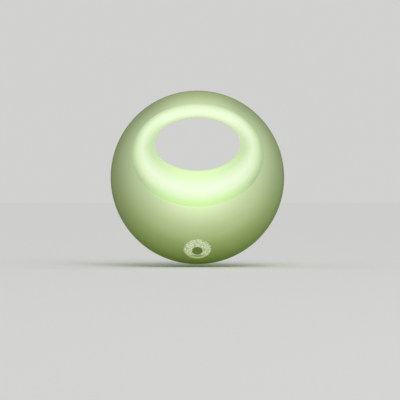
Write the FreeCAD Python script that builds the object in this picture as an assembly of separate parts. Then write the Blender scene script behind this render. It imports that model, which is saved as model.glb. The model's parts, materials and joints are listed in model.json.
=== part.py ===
import FreeCAD, Part
import math
import os
from FreeCAD import Placement, Rotation, Vector

# Ball-shaped plug-in night light with a see-through glowing ring, in millimetres.
# The plug's axis is the Y axis and its pins point to +Y. The lamp faces -Y and +Z is up.
# The origin is on the face of the plug nose that the pins leave.

# Ball: seen from the front it is a circle, and front shell and rear shell meet at its widest place
ball_radius = 38.0
front_depth = 25.0
rear_depth = 20.0
rear_corner = 10.0
shell_wall = 2.2
parting_groove = 0.4
ball_bottom_drop = 16.0
nose_reach = 17.0

# Ovals of the see-through hole: the seam keeps its place under the ball's top,
# the roll leads from it to the throat, and the sleeve from the throat to the mouth
seam_side_margin = 9.6
seam_top_margin = 6.1
seam_rise = 9.5
roll_width = 9.6
roll_height = 10.8
throat_lift = 5.2
mouth_flare_width = 3.7
mouth_flare_height = 2.9
mouth_drop = 1.7
ring_wall = 1.8
ring_recess = 0.4
flange_width = 1.6
flange_thickness = 1.5
roll_steps = 6
loop_points = 16

# Fits
seam_gap = 0.15
seat_gap = 0.2
slide_gap = 0.1

# Lap joint and snap hooks between the shells
tongue_thickness = 1.0
tongue_length = 1.5
hook_turn = 25.0
hook_width_turn = 11.0
hook_pocket_spare_turn = 2.0
hook_thickness = 1.1
hook_setback = 2.9
hook_reach = 6.0
barb_length = 2.0
barb_height = 0.8

# Shell screws, one each side below the ring
shell_screw_side_margin = 11.6
shell_screw_rise = 27.3
screw_radius = 1.3
screw_head_radius = 2.4
screw_head_height = 1.6
recess_length = 2.6
recess_width = 0.65
recess_depth = 0.8
shell_screw_length = 12.0
screw_seat_depth = 6.0
boss_radius = 2.9
rear_boss_radius = 3.6
thread_gap = 0.05
hole_gap = 0.25

# Plug nose: flat two-pin outline
nose_width = 35.3
nose_height = 13.7
nose_corner = 4.5
nose_wall = 1.8
nose_face = 2.5
plate_thickness = 2.0
plate_standoff = 3.0
plate_border_top = 3.0
plate_border = 0.8
ear_standoff = 3.35
ear_rise = 2.5
ear_radius = 3.4
plug_screw_bite = 3.6

# Pins
pin_spacing = 19.0
pin_radius = 2.0
pin_length = 19.0
pin_tip_round = 1.2
sleeve_length = 10.0
sleeve_radius = 1.8
neck_radius = 1.4
collar_radius = 2.8
collar_thickness = 2.0
tail_radius = 1.2
tail_length = 4.0
pin_boss_radius = 4.0
pin_boss_length = 3.5
clamp_thickness = 2.0
clamp_boss_radius = 2.8

# Boards
board_margin = 6.5
main_board_front = 4.4
board_top_margin = 5.9
board_thickness = 1.6
board_post_x = 13.0
board_post_margin = 3.9
board_post_radius = 2.6
board_screw_length = 6.0
notch_gap = 0.7
led_board_width = 4.0
led_board_front = 1.0
led_board_thickness = 1.2
led_count = 12
led_length = 3.5
led_width = 2.8
led_height = 1.8
led_lens_radius = 1.2
led_lens_height = 0.2
shoulder_thickness = 1.5
shoulder_inset = 0.4
mouth_flange_width = 2.2

# Parts on the main board, placed by x and by their rise above the ball's lowest place
leg_radius = 0.35
leg_gap = 0.1
leg_stub = 1.2
leg_root = 1.0
dropper_place = (-10.0, 18.5)
dropper_size = (13.0, 6.0, 12.0)
dropper_pitch = 10.0
smoother_place = (9.5, 19.0)
smoother_radius = 4.0
smoother_height = 12.0
smoother_pitch = 3.5
smoother_crimp = 0.35
smoother_crimp_rise = 2.4
rectifier_place = (0.0, 25.4)
rectifier_size = (8.2, 6.4, 3.2)
rectifier_pitch = 5.1
rectifier_row = 5.1
fuse_place = (-9.5, 12.0)
fuse_size = (9.0, 1.6)
fuse_pitch = 12.0
discharge_places = [(9.5, 11.7), (18.9, 21.0)]
discharge_size = (6.3, 1.2)
discharge_pitch = 9.4
zener_place = (-11.0, 24.2)
zener_size = (5.0, 1.3)
zener_pitch = 8.0
transistor_place = (1.0, 18.7)
transistor_radius = 2.4
transistor_flat = 1.3
transistor_height = 4.8
transistor_lift = 2.5
transistor_pitch = 1.5
body_lift = 0.2
lead_bend = 1.2

# Sensor and its window
window_margin = 6.5
window_radius = 6.05
window_recess = 0.1
window_ledge = 1.6
window_crown = 33.0
dimple_radius = 2.3
dimple_depth = 0.35
spigot_radius = 4.65
spigot_length = 1.0
holder_wall_end = 8.0
collar_tube_wall = 1.5
collar_tube_end = 9.0
sensor_radius = 2.55
sensor_height = 2.1
sensor_window_gap = 0.4
sensor_leg_spacing = 3.4
holder_step_radius = 2.2
sensor_leg_bend = 3.0
sensor_leg_straight = 5.4

# Leads
mains_lead_radius = 0.8
mains_lead_x = 12.0
mains_lead_drop = 1.5
mains_lead_straight = 5.0
mains_bend = 4.0
led_lead_radius = 0.55
led_lead_x = 1.5
led_lead_bend = 2.4
led_lead_reach = 2.6

# Places that follow from the sizes
centre_z = ball_radius - ball_bottom_drop
bottom_z = centre_z - ball_radius
seam_width = 2 * (ball_radius - seam_side_margin)
seam_height = 2 * (ball_radius - seam_top_margin - seam_rise)
throat_width = seam_width - 2 * roll_width
throat_height = seam_height - 2 * roll_height
throat_rise = seam_rise + throat_lift
mouth_width = throat_width + 2 * mouth_flare_width
mouth_height = throat_height + 2 * mouth_flare_height
mouth_rise = throat_rise - mouth_drop
main_board_radius = ball_radius - board_margin
main_board_height = shell_screw_rise + board_top_margin
board_post_rise = main_board_height - board_post_margin
ear_x = nose_width / 2 + ear_standoff
window_drop = ball_radius - window_margin
back_y = -nose_reach
parting_y = back_y - rear_depth
inner_back_y = back_y - shell_wall
plate_front_y = inner_back_y - plate_standoff - plate_thickness
plate_back_y = inner_back_y - plate_standoff
board_front_y = parting_y + main_board_front
board_back_y = board_front_y + board_thickness
led_front_y = parting_y + led_board_front
led_back_y = led_front_y + led_board_thickness
clamp_back_y = -nose_face - pin_boss_length - collar_thickness
clamp_front_y = clamp_back_y - clamp_thickness
seam = (seam_width, seam_height, centre_z + seam_rise)
throat = (throat_width, throat_height, centre_z + throat_rise)
mouth = (mouth_width, mouth_height, centre_z + mouth_rise)
sides = (-1, 1)

# How far a cutting shape runs past the surface that it cuts
overrun = 1.0


def widened(oval, border):
    """The same oval with a border all round."""
    width, height, z = oval
    return (width + 2 * border, height + 2 * border, z)


def oval_point(oval, angle):
    """Place across the front view on an oval's rim."""
    width, height, z = oval
    return width / 2 * math.cos(angle), z + height / 2 * math.sin(angle)


def oval_bar(oval, y_from, y_to):
    """Straight bar of oval section along Y."""
    width, height, z = oval
    side = Vector(width / 2, y_from, z)
    top = Vector(0, y_from, z + height / 2)
    rim = Part.Ellipse(side, top, Vector(0, y_from, z)).toShape()
    return Part.Face(Part.Wire(rim)).extrude(Vector(0, y_to - y_from, 0))


def rod(radius, x, z, y_from, y_to):
    """Round bar along Y."""
    return Part.makeCylinder(radius, y_to - y_from, Vector(x, y_from, z), Vector(0, 1, 0))


def block(x_from, x_to, y_from, y_to, z_from, z_to):
    """Box between two corners."""
    return Part.makeBox(x_to - x_from, y_to - y_from, z_to - z_from, Vector(x_from, y_from, z_from))


def quarter_ellipse(start, corner, end):
    """Exact quarter of an ellipse from start to end, whose end tangents meet at corner."""
    curve = Part.BezierCurve()
    curve.setPoles([start, corner, end])
    curve.setWeight(2, math.sqrt(0.5))
    return curve.toShape()


def turned(edges, turn=360.0):
    """Profile of radius and y, turned about the ball's axis."""
    solid = Part.Face(Part.Wire(edges)).revolve(Vector(0, 0, 0), Vector(0, 1, 0), turn)
    solid.translate(Vector(0, 0, centre_z))
    return solid


def outline(points):
    """Closed run of straight edges."""
    return Part.makePolygon(points + [points[0]]).Edges


def band(inner, outer, y_from, y_to, turn=360.0):
    """Ring of rectangular section about the ball's axis."""
    corners = [(inner, y_from), (outer, y_from), (outer, y_to), (inner, y_to)]
    return turned(outline([Vector(radius, y, 0) for radius, y in corners]), turn)


def dome(inset=0.0):
    """Half of the ball in front of the parting plane, drawn in by inset."""
    radius = ball_radius - inset
    tip_y = parting_y - front_depth + inset
    middle = Vector(0, parting_y, 0)
    rim = Vector(radius, parting_y, 0)
    tip = Vector(0, tip_y, 0)
    curve = quarter_ellipse(rim, Vector(radius, tip_y, 0), tip)
    return turned([Part.makeLine(middle, rim), curve, Part.makeLine(tip, middle)])


def bowl(inset=0.0):
    """Half of the ball behind the parting plane, with a flat back and a round corner."""
    radius = ball_radius - inset
    flat = ball_radius - rear_corner
    end_y = back_y - inset
    middle = Vector(0, parting_y, 0)
    rim = Vector(radius, parting_y, 0)
    edge = Vector(flat, end_y, 0)
    pole = Vector(0, end_y, 0)
    curve = quarter_ellipse(rim, Vector(radius, end_y, 0), edge)
    return turned([Part.makeLine(middle, rim), curve, Part.makeLine(edge, pole), Part.makeLine(pole, middle)])


def dome_y(x, z, inset=0.0):
    """Y of the dome's surface at a place of the front view."""
    share = math.hypot(x, z - centre_z) / (ball_radius - inset)
    return parting_y - (front_depth - inset) * math.sqrt(1 - share**2)


def rolled_skin(rim, narrow, rim_y, narrow_y):
    """Smooth skin that leaves the rim flat, rolls inward and ends straight along Y at the narrow oval."""
    loops = []
    for step in range(roll_steps + 1):
        roll = math.pi / 2 * step / roll_steps
        out = 1 - math.sin(roll)
        sunk = 1 - math.cos(roll)
        points = []
        for place in range(loop_points):
            angle = 2 * math.pi * place / loop_points
            rim_x, rim_z = oval_point(rim, angle)
            narrow_x, narrow_z = oval_point(narrow, angle)
            start_y = rim_y(rim_x, rim_z)
            x = narrow_x + (rim_x - narrow_x) * out
            z = narrow_z + (rim_z - narrow_z) * out
            points.append(Vector(x, start_y + (narrow_y - start_y) * sunk, z))
        loop = Part.BSplineCurve()
        loop.interpolate(Points=points, PeriodicFlag=True)
        loops.append(Part.Wire(loop.toShape()))
    return Part.makeLoft(loops, False, False)


def end_loops(skin):
    """The two closed edges of a skin, the front one first."""
    closed = [edge for edge in skin.Edges if edge.isClosed()]
    return sorted(closed, key=lambda edge: edge.BoundBox.YMax + edge.BoundBox.YMin)


def walled(one, other):
    """Solid wall between two skins whose ends face each other."""
    faces = one.Faces + other.Faces
    for here, there in zip(end_loops(one), end_loops(other)):
        faces.append(Part.makeRuledSurface(here, there))
    shell = Part.makeShell(faces)
    shell.sewShape()
    solid = Part.makeSolid(shell)
    if solid.Volume < 0:
        solid.reverse()
    return solid


def rounded_route(corners, bend):
    """Straight runs through the corners, joined by arcs of one radius."""
    edges = []
    here = corners[0]
    for before, corner, after in zip(corners, corners[1:], corners[2:]):
        came = (before - corner).normalize()
        goes = (after - corner).normalize()
        half = came.getAngle(goes) / 2
        reach = bend / math.tan(half)
        start = corner + came * reach
        end = corner + goes * reach
        to_centre = (came + goes).normalize()
        middle = corner + to_centre * (bend / math.sin(half) - bend)
        edges.append(Part.makeLine(here, start))
        edges.append(Part.Arc(start, middle, end).toShape())
        here = end
    edges.append(Part.makeLine(here, corners[-1]))
    return Part.Wire(edges)


def wire_along(corners, bend, radius):
    """Round wire along a route with rounded corners."""
    route = rounded_route(corners, bend)
    heading = corners[1] - corners[0]
    section = Part.Wire(Part.makeCircle(radius, corners[0], heading))
    return route.makePipeShell([section], True, False)


def on_window_axis(shape):
    """Moves a shape from its own frame, +Z outward and 0 at the surface, to the sensor window."""
    z = centre_z - window_drop
    slope_z = window_drop / ball_radius**2
    slope_y = (parting_y - dome_y(0, z)) / front_depth**2
    outward = Vector(0, -slope_y, -slope_z)
    placed = shape.copy()
    placed.Placement = Placement(Vector(0, dome_y(0, z), z), Rotation(Vector(0, 0, 1), outward))
    return placed


def off_window_axis(point):
    """A point of the window's own frame, in the frame of the lamp."""
    return on_window_axis(Part.Vertex(point)).Point


def nose_bar(inset, y_from, y_to):
    """Bar of the plug nose's outline: a flat octagon."""
    half_width = nose_width / 2 - inset
    half_height = nose_height / 2 - inset
    corner_x = half_width - nose_corner
    corner_z = half_height - nose_corner
    right = [(half_width, corner_z), (corner_x, half_height)]
    upper = right + [(-corner_x, half_height), (-half_width, corner_z)]
    points = upper + [(-x, -z) for x, z in upper]
    wire = Part.makePolygon([Vector(x, y_from, z) for x, z in points + points[:1]])
    return Part.Face(wire).extrude(Vector(0, y_to - y_from, 0))


def shell_screw_places():
    """X and z of the two shell screws."""
    return [(side * (ball_radius - shell_screw_side_margin), bottom_z + shell_screw_rise) for side in sides]


def board_post_places():
    """X and z of the two main board posts."""
    return [(side * board_post_x, bottom_z + board_post_rise) for side in sides]


def ear_places():
    """X and z of the plug nose's two ears."""
    return [(side * ear_x, ear_rise) for side in sides]


def pin_places():
    """X and z of the two pins."""
    return [(side * pin_spacing / 2, 0.0) for side in sides]


def hook_band(inner, outer, y_from, y_to, widen=0.0):
    """Two short bands at the top of the ball, one each side."""
    bands = []
    for side in sides:
        turn = hook_width_turn + widen
        piece = band(inner, outer, y_from, y_to, turn)
        piece.rotate(Vector(0, 0, centre_z), Vector(0, 1, 0), side * hook_turn - 90 - turn / 2)
        bands.append(piece)
    return bands


def front_shell():
    """Dome with the oval opening, window seat, screw bosses, lap tongue and two snap hooks."""
    inside = dome(shell_wall)
    inner_radius = ball_radius - shell_wall
    body = dome().cut(inside)
    tongue_outer = inner_radius + tongue_thickness
    tongue = band(inner_radius, tongue_outer, parting_y - shell_wall, parting_y + tongue_length)
    body = body.fuse(tongue.cut(inside))
    hook_outer = ball_radius - hook_setback
    hook_inner = hook_outer - hook_thickness
    hook_end = parting_y + hook_reach
    strips = hook_band(hook_inner, hook_outer, parting_y - front_depth, hook_end)
    barbs = hook_band(hook_inner, hook_outer + barb_height, hook_end - barb_length, hook_end)
    top_z = centre_z + ball_radius
    ahead = block(-ball_radius, ball_radius, parting_y - front_depth, parting_y, centre_z, top_z)
    for strip in strips:
        root = strip.common(dome(shell_wall / 2))
        body = body.fuse(root).fuse(strip.cut(ahead))
    body = body.fuse(barbs)
    for x, z in shell_screw_places():
        boss = rod(boss_radius, x, z, parting_y - front_depth, parting_y)
        body = body.fuse(boss.common(dome(shell_wall / 2)))
    tube = Part.makeCylinder(spigot_radius + slide_gap + collar_tube_wall, collar_tube_end)
    tube.translate(Vector(0, 0, -collar_tube_end))
    body = body.fuse(on_window_axis(tube).common(dome(shell_wall / 2)))
    body = body.cut(oval_bar(seam, parting_y - front_depth, parting_y))
    recess = Part.makeCylinder(window_radius + slide_gap, 2 * window_ledge, Vector(0, 0, -window_ledge))
    bore_end = collar_tube_end + overrun
    bore = Part.makeCylinder(spigot_radius + slide_gap, 2 * bore_end, Vector(0, 0, -bore_end))
    body = body.cut(on_window_axis(recess)).cut(on_window_axis(bore))
    pilot_depth = shell_screw_length - screw_seat_depth + thread_gap
    for x, z in shell_screw_places():
        body = body.cut(rod(screw_radius + thread_gap, x, z, parting_y - pilot_depth, parting_y))
    return body.removeSplitter()


def rear_shell():
    """Bowl with the tunnel's mouth, the plug nose's opening, screw wells, posts and hook pockets."""
    outside = bowl()
    inside = bowl(shell_wall)
    body = outside.cut(inside)
    for x, z in shell_screw_places():
        body = body.fuse(rod(rear_boss_radius, x, z, parting_y, back_y).common(outside))
    for x, z in board_post_places():
        body = body.fuse(rod(board_post_radius, x, z, board_back_y, inner_back_y + thread_gap))
    for x, z in ear_places():
        body = body.fuse(rod(ear_radius, x, z, plate_back_y, back_y).common(outside))
    inner_radius = ball_radius - shell_wall
    rebate_end = parting_y + tongue_length + slide_gap
    rebate_outer = inner_radius + tongue_thickness + slide_gap
    body = body.cut(band(inner_radius - slide_gap, rebate_outer, parting_y, rebate_end))
    groove_end = parting_y + parting_groove
    body = body.cut(band(ball_radius - parting_groove, ball_radius + overrun, parting_y, groove_end))
    body = body.cut(oval_bar(widened(mouth, seam_gap), parting_y, back_y + overrun))
    body = body.cut(nose_bar(-seat_gap, plate_front_y, 0))
    hook_outer = ball_radius - hook_setback
    pocket_from = parting_y + hook_reach - barb_length - seat_gap
    pocket_to = parting_y + hook_reach + seat_gap
    pocket_outer = hook_outer + barb_height + seat_gap
    spare = hook_pocket_spare_turn
    for pocket in hook_band(hook_outer - hook_thickness, pocket_outer, pocket_from, pocket_to, spare):
        body = body.cut(pocket)
    seat_y = parting_y + screw_seat_depth
    for x, z in shell_screw_places():
        body = body.cut(rod(screw_radius + hole_gap, x, z, parting_y, seat_y))
        body = body.cut(rod(screw_head_radius + hole_gap, x, z, seat_y, back_y + overrun))
    for x, z in board_post_places():
        pilot = board_screw_length - board_thickness + thread_gap
        body = body.cut(rod(screw_radius + thread_gap, x, z, board_back_y, board_back_y + pilot))
    ear_pilot_end = plate_back_y + plug_screw_bite + thread_gap
    for x, z in ear_places():
        body = body.cut(rod(screw_radius + thread_gap, x, z, plate_back_y, ear_pilot_end))
    return body.removeSplitter()


def ring_diffuser():
    """Glowing roll that lines the opening, with a flange that sits behind the front shell's edge."""
    rim = widened(seam, -seam_gap)
    flange_front = shell_wall + slide_gap
    rim_depth = flange_front + flange_thickness + ring_wall / 3
    shown = rolled_skin(rim, throat, lambda x, z: dome_y(x, z) + ring_recess, parting_y)
    hidden = rolled_skin(rim, widened(throat, ring_wall), lambda x, z: dome_y(x, z) + rim_depth, parting_y)
    roll = walled(shown, hidden)
    layer = dome(flange_front).cut(dome(flange_front + flange_thickness))
    reach = widened(seam, flange_width)
    root = widened(seam, -flange_width)
    front_y = parting_y - front_depth
    flange = layer.common(oval_bar(reach, front_y, parting_y).cut(oval_bar(root, front_y, parting_y)))
    return roll.fuse(flange).removeSplitter()


def tunnel_sleeve():
    """Rear half of the see-through hole, with a shoulder for the LED board and a flange on the back wall."""
    edge_y = back_y - ring_recess
    thick = ring_wall + ring_recess
    shown = rolled_skin(mouth, throat, lambda x, z: edge_y, parting_y)
    hidden = rolled_skin(mouth, widened(throat, ring_wall), lambda x, z: edge_y - thick, parting_y)
    flare = walled(shown, hidden)
    board_hole = widened(throat, ring_wall)
    board_rim = widened(board_hole, led_board_width - shoulder_inset)
    inside = widened(throat, ring_wall / 2)
    shoulder = oval_bar(board_rim, led_back_y, led_back_y + shoulder_thickness)
    shoulder = shoulder.cut(oval_bar(inside, led_back_y, led_back_y + shoulder_thickness))
    flange_from = inner_back_y - flange_thickness
    flange = oval_bar(widened(mouth, mouth_flange_width), flange_from, inner_back_y)
    flange = flange.cut(oval_bar(widened(mouth, -ring_wall), flange_from, inner_back_y))
    flange = flange.common(bowl(shell_wall))
    return flare.fuse(shoulder).fuse(flange).removeSplitter()


def led_board():
    """Oval ring board around the tunnel's throat."""
    hole = widened(throat, ring_wall + slide_gap)
    rim = widened(throat, ring_wall + led_board_width)
    return oval_bar(rim, led_front_y, led_back_y).cut(oval_bar(hole, led_front_y, led_back_y))


def ring_leds():
    """Surface LEDs that shine forward into the roll, evenly turned round the oval."""
    leds = []
    track = widened(throat, ring_wall + led_board_width / 2)
    for place in range(led_count):
        angle = 2 * math.pi * (place + 0.5) / led_count
        x, z = oval_point(track, angle)
        body = block(-led_length / 2, led_length / 2, -led_height, 0, -led_width / 2, led_width / 2)
        lens = rod(led_lens_radius, 0, 0, -led_height - led_lens_height, -led_height)
        led = body.fuse(lens)
        along_x = -track[0] * math.sin(angle)
        along_z = track[1] * math.cos(angle)
        led.rotate(Vector(0, 0, 0), Vector(0, 1, 0), -math.degrees(math.atan2(along_z, along_x)))
        led.translate(Vector(x, led_front_y, z))
        leds.append(led)
    return Part.makeCompound(leds)


def leg(x, z, y_from):
    """Straight leg from a body through the main board."""
    return rod(leg_radius, x, z, y_from, board_back_y + leg_stub)


def two_legs(place, pitch):
    """X and z of two legs, side by side about a place."""
    x, rise = place
    return [(x + side * pitch / 2, bottom_z + rise) for side in sides]


def dropper_legs():
    """X and z of the dropper capacitor's legs."""
    return two_legs(dropper_place, dropper_pitch)


def smoother_legs():
    """X and z of the smoothing capacitor's legs."""
    return two_legs(smoother_place, smoother_pitch)


def fuse_legs():
    """X and z of the fusible resistor's legs."""
    return two_legs(fuse_place, fuse_pitch)


def rectifier_legs():
    """X and z of the rectifier's four legs."""
    x, rise = rectifier_place
    z = bottom_z + rise
    return [(x + a * rectifier_row / 2, z + b * rectifier_pitch / 2) for a in sides for b in sides]


def discharge_legs(place):
    """X and z of one discharge resistor's legs."""
    return two_legs(place, discharge_pitch)


def zener_legs():
    """X and z of the diode's legs."""
    return two_legs(zener_place, zener_pitch)


def transistor_legs():
    """X and z of the transistor's three legs in a row."""
    x, rise = transistor_place
    return [(x + step * transistor_pitch, bottom_z + rise) for step in (-1, 0, 1)]


def all_legs():
    """Every leg that the main board has a hole for."""
    places = dropper_legs() + smoother_legs() + rectifier_legs()
    places = places + fuse_legs() + zener_legs() + transistor_legs()
    for place in discharge_places:
        places = places + discharge_legs(place)
    return places


def main_board():
    """Board that fills the lower half of the ball, cut away round the shell screws' bosses."""
    disc = rod(main_board_radius, 0, centre_z, board_front_y, board_back_y)
    top_z = bottom_z + main_board_height
    lower = block(-ball_radius, ball_radius, board_front_y, board_back_y, centre_z - ball_radius, top_z)
    board = disc.common(lower)
    for x, z in shell_screw_places():
        board = board.cut(rod(rear_boss_radius + notch_gap, x, z, board_front_y, board_back_y))
    for x, z in board_post_places():
        board = board.cut(rod(screw_radius + hole_gap, x, z, board_front_y, board_back_y))
    for x, z in all_legs():
        board = board.cut(rod(leg_radius + leg_gap, x, z, board_front_y, board_back_y))
    return board


def boxed_part(place, size):
    """Box standing on the main board with its edges a little rounded."""
    x, rise = place
    width, depth, height = size
    z = bottom_z + rise
    body = Part.makeBox(width, height, depth, Vector(x - width / 2, board_front_y - height, z - depth / 2))
    return body.makeFillet(leg_radius, body.Edges)


def dropper_capacitor():
    """Box capacitor that drops the mains voltage."""
    body = boxed_part(dropper_place, dropper_size)
    return body.fuse([leg(x, z, board_front_y - leg_root) for x, z in dropper_legs()])


def bridge_rectifier():
    """Four-legged rectifier."""
    body = boxed_part(rectifier_place, rectifier_size)
    return body.fuse([leg(x, z, board_front_y - leg_root) for x, z in rectifier_legs()])


def smoothing_capacitor():
    """Can with a crimp near its foot and a rounded top."""
    x, rise = smoother_place
    z = bottom_z + rise
    can = rod(smoother_radius, x, z, board_front_y - smoother_height, board_front_y)
    top = [edge for edge in can.Edges if edge.BoundBox.YMax < board_front_y - leg_root]
    can = can.makeFillet(smoother_crimp, [edge for edge in top if edge.isClosed()])
    crimp_y = board_front_y - smoother_crimp_rise
    crimp_radius = smoother_radius + smoother_crimp
    crimp = Part.makeTorus(crimp_radius, 2 * smoother_crimp, Vector(x, crimp_y, z), Vector(0, 1, 0))
    return can.cut(crimp).fuse([leg(a, b, board_front_y - leg_root) for a, b in smoother_legs()])


def axial_part(legs, size):
    """Rounded body lying over the board on two bent legs."""
    length, radius = size
    start, end = [Vector(x, board_front_y - radius - body_lift, z) for x, z in legs]
    along = (end - start).normalize()
    middle = (start + end) * 0.5
    body = Part.makeCylinder(radius, length, middle - along * (length / 2), along)
    ends = [edge for edge in body.Edges if edge.Curve.TypeId == "Part::GeomCircle"]
    body = body.makeFillet(radius / 3, ends)
    foot = Vector(0, board_back_y + leg_stub - start.y, 0)
    legs_wire = wire_along([start + foot, start, end, end + foot], lead_bend, leg_radius)
    return body.fuse(legs_wire)


def discharge_resistors():
    """Resistors that empty the dropper capacitor when the lamp is unplugged."""
    bodies = [axial_part(discharge_legs(place), discharge_size) for place in discharge_places]
    return Part.makeCompound(bodies)


def switching_transistor():
    """Small plastic transistor, round in front and flat behind."""
    x, rise = transistor_place
    z = bottom_z + rise
    foot = board_front_y - transistor_lift
    body = rod(transistor_radius, x, z, foot - transistor_height, foot)
    reach = 2 * transistor_radius
    flat = block(x - reach, x + reach, foot - transistor_height, foot, z - reach, z - transistor_flat)
    return body.cut(flat).fuse([leg(a, b, foot - leg_root) for a, b in transistor_legs()])


def sensor_window():
    """Clear disc in the front shell's recess: crowned like the ball, with a plain dimple in its centre."""
    crown = -window_recess
    fall = window_radius**2 / (2 * window_crown)
    half_fall = (window_radius / 2) ** 2 / (2 * window_crown)
    top = Vector(0, 0, crown)
    rim = Vector(window_radius, 0, crown - fall)
    arc = Part.Arc(top, Vector(window_radius / 2, 0, crown - half_fall), rim)
    foot = -window_ledge
    end = foot - spigot_length
    corners = [
        rim, Vector(window_radius, 0, foot), Vector(spigot_radius, 0, foot),
        Vector(spigot_radius, 0, end), Vector(0, 0, end), top,
    ]
    profile = Part.Wire([arc.toShape()] + Part.makePolygon(corners).Edges)
    disc = Part.Face(profile).revolve(Vector(0, 0, 0), Vector(0, 0, 1), 360)
    ball = (dimple_radius**2 + dimple_depth**2) / (2 * dimple_depth)
    dimple = Part.makeSphere(ball, Vector(0, 0, crown - dimple_depth + ball))
    return on_window_axis(disc.cut(dimple))


def sensor_front():
    """Depth of the sensor's face under the ball's surface, along the window's axis."""
    return window_ledge + spigot_length + sensor_window_gap


def sensor_holder():
    """Rubber sleeve that holds the sensor in the shell's collar tube."""
    front = window_ledge + spigot_length
    outer = Part.makeCylinder(spigot_radius, holder_wall_end - front, Vector(0, 0, -holder_wall_end))
    step = sensor_front() + sensor_height
    bore = Part.makeCylinder(sensor_radius + slide_gap, step, Vector(0, 0, -step))
    back_hole = Part.makeCylinder(holder_step_radius, holder_wall_end, Vector(0, 0, -holder_wall_end))
    return on_window_axis(outer.cut(bore).cut(back_hole))


def light_sensor():
    """Photo cell with two legs that bend back to the main board."""
    front = sensor_front()
    back = front + sensor_height
    shape = on_window_axis(Part.makeCylinder(sensor_radius, sensor_height, Vector(0, 0, -back)))
    for side in sides:
        x = side * sensor_leg_spacing / 2
        start = off_window_axis(Vector(x, 0, -front - sensor_height / 2))
        corner = off_window_axis(Vector(x, 0, -back - sensor_leg_straight))
        end = Vector(corner.x, board_front_y, corner.z)
        shape = shape.fuse(wire_along([start, corner, end], sensor_leg_bend, leg_radius))
    return shape


def plug_nose():
    """Hollow insulating nose with a flange plate and two ears, bosses for the pins and one for the clamp."""
    plate = nose_bar(-plate_border, plate_front_y, plate_back_y)
    half = nose_width / 2 + plate_border
    top_z = nose_height / 2 + plate_border_top
    plate = plate.fuse(block(-half, half, plate_front_y, plate_back_y, 0, top_z))
    for x, z in ear_places():
        plate = plate.fuse(rod(ear_radius, x, z, plate_front_y, plate_back_y))
    plate = plate.common(bowl(shell_wall + 2 * seat_gap))
    body = plate.fuse(nose_bar(0, plate_front_y, 0))
    body = body.cut(nose_bar(nose_wall, plate_front_y, -nose_face))
    for x, z in pin_places():
        body = body.fuse(rod(pin_boss_radius, x, z, -nose_face - pin_boss_length, -nose_face))
    body = body.fuse(rod(clamp_boss_radius, 0, 0, clamp_back_y, -nose_face))
    for x, z in pin_places():
        body = body.cut(rod(pin_radius + slide_gap, x, z, -nose_face - pin_boss_length, 0))
    body = body.cut(rod(screw_radius + thread_gap, 0, 0, clamp_back_y, -nose_face))
    for x, z in ear_places():
        body = body.cut(rod(screw_radius + hole_gap, x, z, plate_front_y, plate_back_y))
    return body.removeSplitter()


def pin(x):
    """Round plug pin: contact end, neck under the sleeve, collar and tail."""
    contact = rod(pin_radius, x, 0, sleeve_length, pin_length)
    tip = [edge for edge in contact.Edges if edge.BoundBox.YMin > pin_length - pin_tip_round / 2]
    contact = contact.makeFillet(pin_tip_round, tip)
    collar_front = -nose_face - pin_boss_length
    neck = rod(neck_radius, x, 0, collar_front, sleeve_length)
    collar = rod(collar_radius, x, 0, collar_front - collar_thickness, collar_front)
    tail = rod(tail_radius, x, 0, collar_front - collar_thickness - tail_length, collar_front)
    return contact.fuse([neck, collar, tail]).removeSplitter()


def pin_sleeve(x):
    """Insulating sleeve between the pin's collar and its contact end."""
    start = -nose_face - pin_boss_length
    bore = rod(neck_radius + thread_gap, x, 0, start, sleeve_length)
    return rod(sleeve_radius, x, 0, start, sleeve_length).cut(bore)


def pin_clamp():
    """Plate that holds the pins' collars down, screwed to the nose."""
    plate = nose_bar(nose_wall + seat_gap, clamp_front_y, clamp_back_y)
    for x, z in pin_places():
        plate = plate.cut(rod(tail_radius + hole_gap, x, z, clamp_front_y, clamp_back_y))
    return plate.cut(rod(screw_radius + hole_gap, 0, 0, clamp_front_y, clamp_back_y))


def mains_leads():
    """Two insulated leads from the pins' tails to the back of the main board."""
    start_y = clamp_back_y - tail_length
    leads = []
    for side in sides:
        x = side * pin_spacing / 2
        end_x = side * mains_lead_x
        corners = [
            Vector(x, start_y, 0), Vector(x, start_y - mains_lead_straight, 0),
            Vector(end_x, board_back_y + mains_lead_straight, -mains_lead_drop),
            Vector(end_x, board_back_y, -mains_lead_drop),
        ]
        leads.append(wire_along(corners, mains_bend, mains_lead_radius))
    return Part.makeCompound(leads)


def led_leads():
    """Two short leads that arch from the LED board to the main board."""
    start_z = throat[2] - throat_height / 2 - ring_wall - led_board_width / 2
    end_z = start_z - 2 * led_lead_bend - led_lead_radius
    arch_y = led_front_y - led_lead_reach - led_lead_bend
    leads = []
    for side in sides:
        x = side * led_lead_x
        corners = [
            Vector(x, led_front_y, start_z), Vector(x, arch_y, start_z),
            Vector(x, arch_y, end_z), Vector(x, board_front_y, end_z),
        ]
        leads.append(wire_along(corners, led_lead_bend, led_lead_radius))
    return Part.makeCompound(leads)


def screw(x, z, head_y, length, facing):
    """Pan-head screw along Y: its head's seat is at head_y and its shank runs to -facing."""
    shank = Part.makeCylinder(screw_radius, length)
    head = Part.makeCylinder(screw_head_radius, screw_head_height)
    rim = [edge for edge in head.Edges if edge.BoundBox.ZMin > screw_head_height / 2]
    head = head.makeFillet(screw_head_height / 2, rim)
    shank.translate(Vector(0, 0, -length))
    reach = recess_length / 2
    floor = screw_head_height - recess_depth
    across = Part.makeBox(recess_length, recess_width, recess_depth, Vector(-reach, -recess_width / 2, floor))
    along = Part.makeBox(recess_width, recess_length, recess_depth, Vector(-recess_width / 2, -reach, floor))
    whole = shank.fuse(head).cut([across, along])
    whole.Placement = Placement(Vector(x, head_y, z), Rotation(Vector(0, 0, 1), Vector(0, facing, 0)))
    return whole


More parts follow.
